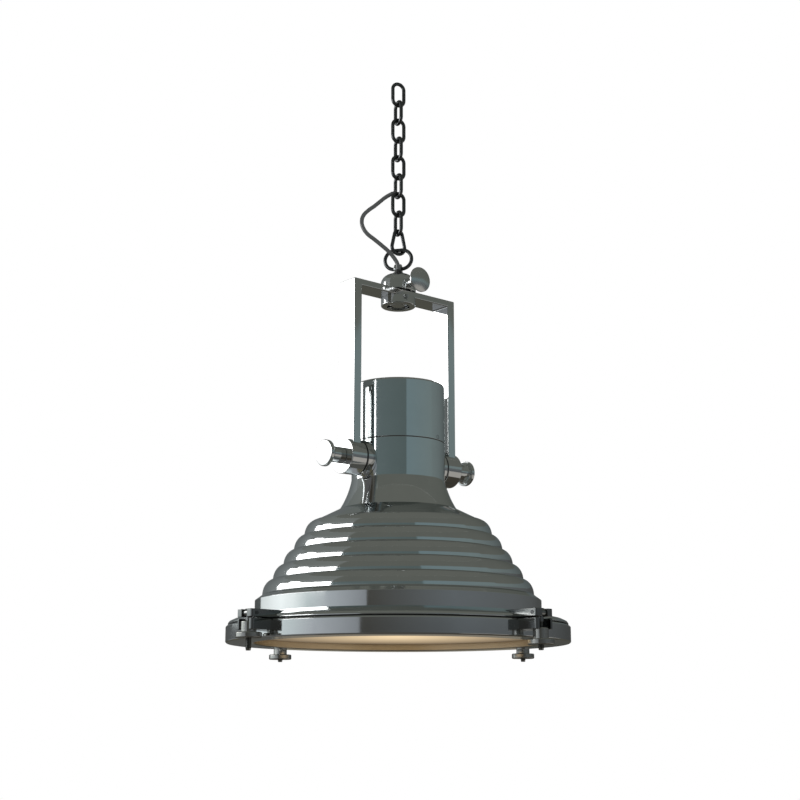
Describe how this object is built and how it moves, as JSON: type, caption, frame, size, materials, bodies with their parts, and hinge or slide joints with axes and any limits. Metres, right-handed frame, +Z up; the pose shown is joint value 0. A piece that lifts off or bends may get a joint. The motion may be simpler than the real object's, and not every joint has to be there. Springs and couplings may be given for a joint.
{
  "type": "pendant light",
  "caption": "Chain-hung industrial pendant light: a ribbed metal bell shade that tilts in a square yoke, with a swivel hub and a clamped bezel of frosted glass.",
  "frame": {"origin": "inside top of the chain's top link, where a ceiling hook bears", "axes": "+Z up along the swivel axis, X along the tilt pivots, -Y towards the lock screw's head"},
  "size_m": [0.557, 0.557, 0.8663],
  "materials": {
    "chain_steel": "satin",
    "chrome": "polished",
    "cast_aluminium": "polished",
    "dark_steel": "satin",
    "black_rubber": "matte",
    "flex_sheath": "satin",
    "brass": "satin",
    "white_insulator": "gloss",
    "frosted_glass": "satin",
    "opal_glass": "satin"
  },
  "bodies": {
    "link_1": {"chain_link_1": "chain_steel"},
    "link_2": {"chain_link_2": "chain_steel"},
    "link_3": {"chain_link_3": "chain_steel"},
    "link_4": {"chain_link_4": "chain_steel"},
    "link_5": {"chain_link_5": "chain_steel"},
    "link_6": {"chain_link_6": "chain_steel"},
    "link_7": {"chain_link_7": "chain_steel"},
    "link_8": {"chain_link_8": "chain_steel"},
    "pear": {"pear_link": "chain_steel"},
    "ring": {"hanging_ring": "chain_steel"},
    "stem": {"swivel_stem": "chrome", "stem_nut": "chrome", "hub_dome": "chrome", "cord_gland": "black_rubber", "flex_cord": "flex_sheath", "flex_cores": "brass"},
    "lock": {"lock_screw": "chrome"},
    "yoke_frame": {"yoke": "chrome", "swivel_collar": "chrome", "ferrule": "chrome", "yoke_wiring": "black_rubber"},
    "head": {"pivot_boss_left": "chrome", "pivot_boss_right": "chrome", "pivot_bolt_left": "chrome", "pivot_bolt_right": "chrome", "pivot_washer_left": "dark_steel", "pivot_washer_right": "dark_steel", "top_cap": "cast_aluminium", "cap_screws": "dark_steel", "neck_housing": "cast_aluminium", "neck_screws": "dark_steel", "ribbed_shade": "chrome", "rim_flange": "cast_aluminium", "gasket": "black_rubber", "bezel_ring": "cast_aluminium", "glass_lens": "frosted_glass", "lens_retainer": "dark_steel", "hinge_pins": "dark_steel", "holder_bracket": "dark_steel", "bracket_screws": "brass", "lampholder": "white_insulator", "bulb_cap": "brass", "bulb_glass": "opal_glass", "terminal_block": "white_insulator", "lamp_wiring": "black_rubber"},
    "knob_left": {"tilt_knob_left": "chrome"},
    "knob_right": {"tilt_knob_right": "chrome"},
    "bolt_1": {"swing_bolt_1": "chrome"},
    "nut_1": {"clamp_nut_1": "chrome"},
    "bolt_2": {"swing_bolt_2": "chrome"},
    "nut_2": {"clamp_nut_2": "chrome"},
    "bolt_3": {"swing_bolt_3": "chrome"},
    "nut_3": {"clamp_nut_3": "chrome"},
    "bolt_4": {"swing_bolt_4": "chrome"},
    "nut_4": {"clamp_nut_4": "chrome"}
  },
  "joints": [
    {"name": "link_2_swing", "type": "hinge", "parent": "link_1", "child": "link_2", "pos_m": [0, 0, -0.0327], "axis": [0.9763, -0.2164, 0], "range_deg": [-40, 40]},
    {"name": "link_3_swing", "type": "hinge", "parent": "link_2", "child": "link_3", "pos_m": [0, 0, -0.0624], "axis": [0.2164, 0.9763, 0], "range_deg": [-40, 40]},
    {"name": "link_4_swing", "type": "hinge", "parent": "link_3", "child": "link_4", "pos_m": [0, 0, -0.0921], "axis": [0.9763, -0.2164, 0], "range_deg": [-40, 40]},
    {"name": "link_5_swing", "type": "hinge", "parent": "link_4", "child": "link_5", "pos_m": [0, 0, -0.1218], "axis": [0.2164, 0.9763, 0], "range_deg": [-40, 40], "deforming": ["flex_cord", "flex_cores"]},
    {"name": "link_6_swing", "type": "hinge", "parent": "link_5", "child": "link_6", "pos_m": [0, 0, -0.1515], "axis": [0.9763, -0.2164, 0], "range_deg": [-40, 40], "deforming": ["flex_cord", "flex_cores"]},
    {"name": "link_7_swing", "type": "hinge", "parent": "link_6", "child": "link_7", "pos_m": [0, 0, -0.1812], "axis": [0.2164, 0.9763, 0], "range_deg": [-40, 40], "deforming": ["flex_cord", "flex_cores"]},
    {"name": "link_8_swing", "type": "hinge", "parent": "link_7", "child": "link_8", "pos_m": [0, 0, -0.2109], "axis": [0.9763, -0.2164, 0], "range_deg": [-40, 40], "deforming": ["flex_cord", "flex_cores"]},
    {"name": "pear_swing", "type": "hinge", "parent": "link_8", "child": "pear", "pos_m": [0, 0, -0.2406], "axis": [0.2164, 0.9763, 0], "range_deg": [-40, 40], "deforming": ["flex_cord", "flex_cores"]},
    {"name": "ring_swing", "type": "hinge", "parent": "pear", "child": "ring", "pos_m": [0, 0, -0.2652], "axis": [0.5736, -0.8192, 0], "range_deg": [-30, 30], "deforming": ["flex_cord", "flex_cores"]},
    {"name": "stem_swing", "type": "hinge", "parent": "ring", "child": "stem", "pos_m": [0, 0, -0.2946], "axis": [0.5736, -0.8192, 0], "range_deg": [-35, 35], "deforming": ["flex_cord", "flex_cores"]},
    {"name": "lock_turn", "type": "hinge", "parent": "stem", "child": "lock", "pos_m": [0, 0, -0.3227], "axis": [0, -1, 0], "continuous": true},
    {"name": "yoke_swivel", "type": "hinge", "parent": "stem", "child": "yoke_frame", "pos_m": [0, 0, -0.3307], "axis": [0, 0, 1], "range_deg": [-45, 45]},
    {"name": "head_tilt", "type": "hinge", "parent": "yoke_frame", "child": "head", "pos_m": [0, 0, -0.588], "axis": [1, 0, 0], "range_deg": [-90, 90]},
    {"name": "knob_left_turn", "type": "hinge", "parent": "head", "child": "knob_left", "pos_m": [-0.1019, 0, -0.588], "axis": [-1, 0, 0], "continuous": true},
    {"name": "knob_right_turn", "type": "hinge", "parent": "head", "child": "knob_right", "pos_m": [0.1019, 0, -0.588], "axis": [1, 0, 0], "continuous": true},
    {"name": "bolt_1_swing", "type": "hinge", "parent": "head", "child": "bolt_1", "pos_m": [-0.26151, -0.01599, -0.8139], "axis": [-0.061, 0.9981, 0], "range_deg": [0, 95]},
    {"name": "nut_1_turn", "type": "hinge", "parent": "bolt_1", "child": "nut_1", "pos_m": [-0.26151, -0.01599, -0.8609], "axis": [0, 0, 1], "continuous": true},
    {"name": "bolt_2_swing", "type": "hinge", "parent": "head", "child": "bolt_2", "pos_m": [0.01599, -0.26151, -0.8139], "axis": [-0.9981, -0.061, 0], "range_deg": [0, 95]},
    {"name": "nut_2_turn", "type": "hinge", "parent": "bolt_2", "child": "nut_2", "pos_m": [0.01599, -0.26151, -0.8609], "axis": [0, 0, 1], "continuous": true},
    {"name": "bolt_3_swing", "type": "hinge", "parent": "head", "child": "bolt_3", "pos_m": [0.26151, 0.01599, -0.8139], "axis": [0.061, -0.9981, 0], "range_deg": [0, 95]},
    {"name": "nut_3_turn", "type": "hinge", "parent": "bolt_3", "child": "nut_3", "pos_m": [0.26151, 0.01599, -0.8609], "axis": [0, 0, 1], "continuous": true},
    {"name": "bolt_4_swing", "type": "hinge", "parent": "head", "child": "bolt_4", "pos_m": [-0.01599, 0.26151, -0.8139], "axis": [0.9981, 0.061, 0], "range_deg": [0, 95]},
    {"name": "nut_4_turn", "type": "hinge", "parent": "bolt_4", "child": "nut_4", "pos_m": [-0.01599, 0.26151, -0.8609], "axis": [0, 0, 1], "continuous": true}
  ]
}
